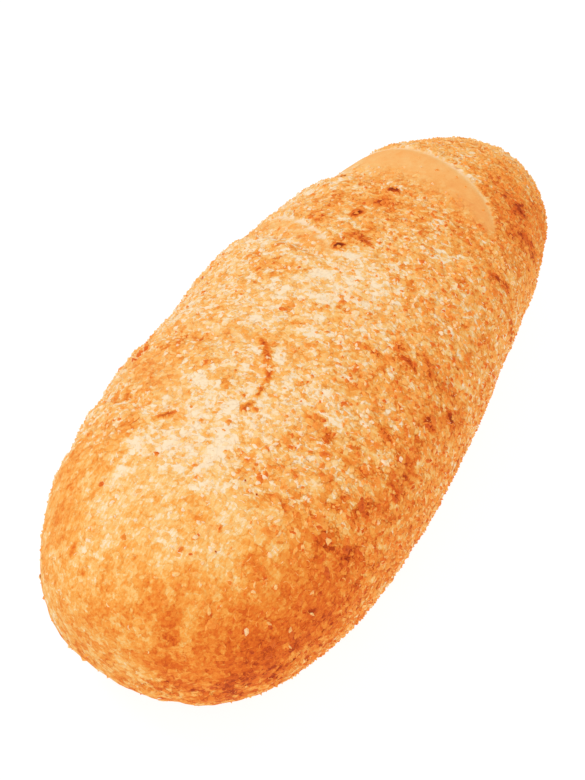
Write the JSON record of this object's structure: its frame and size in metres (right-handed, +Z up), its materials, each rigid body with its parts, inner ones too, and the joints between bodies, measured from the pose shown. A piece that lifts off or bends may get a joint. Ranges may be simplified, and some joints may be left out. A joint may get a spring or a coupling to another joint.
{
  "type": "bread loaf",
  "caption": "Long rounded whole-wheat bran loaf, broader at one end, with shallow diagonal scores across its crown and a flat base to rest on.",
  "frame": {"origin": "centre of the loaf's bounding box on the plane it rests on", "axes": "+X runs along the loaf from its broad end to its narrow end, +Z points up through the crown, +Y points to the flank on which the scores opened"},
  "size_m": [0.28, 0.1192, 0.0744],
  "materials": {
    "crust": "matte baked crust, golden brown, flecked with bran"
  },
  "bodies": {
    "root": {"loaf": "crust"}
  },
  "joints": []
}
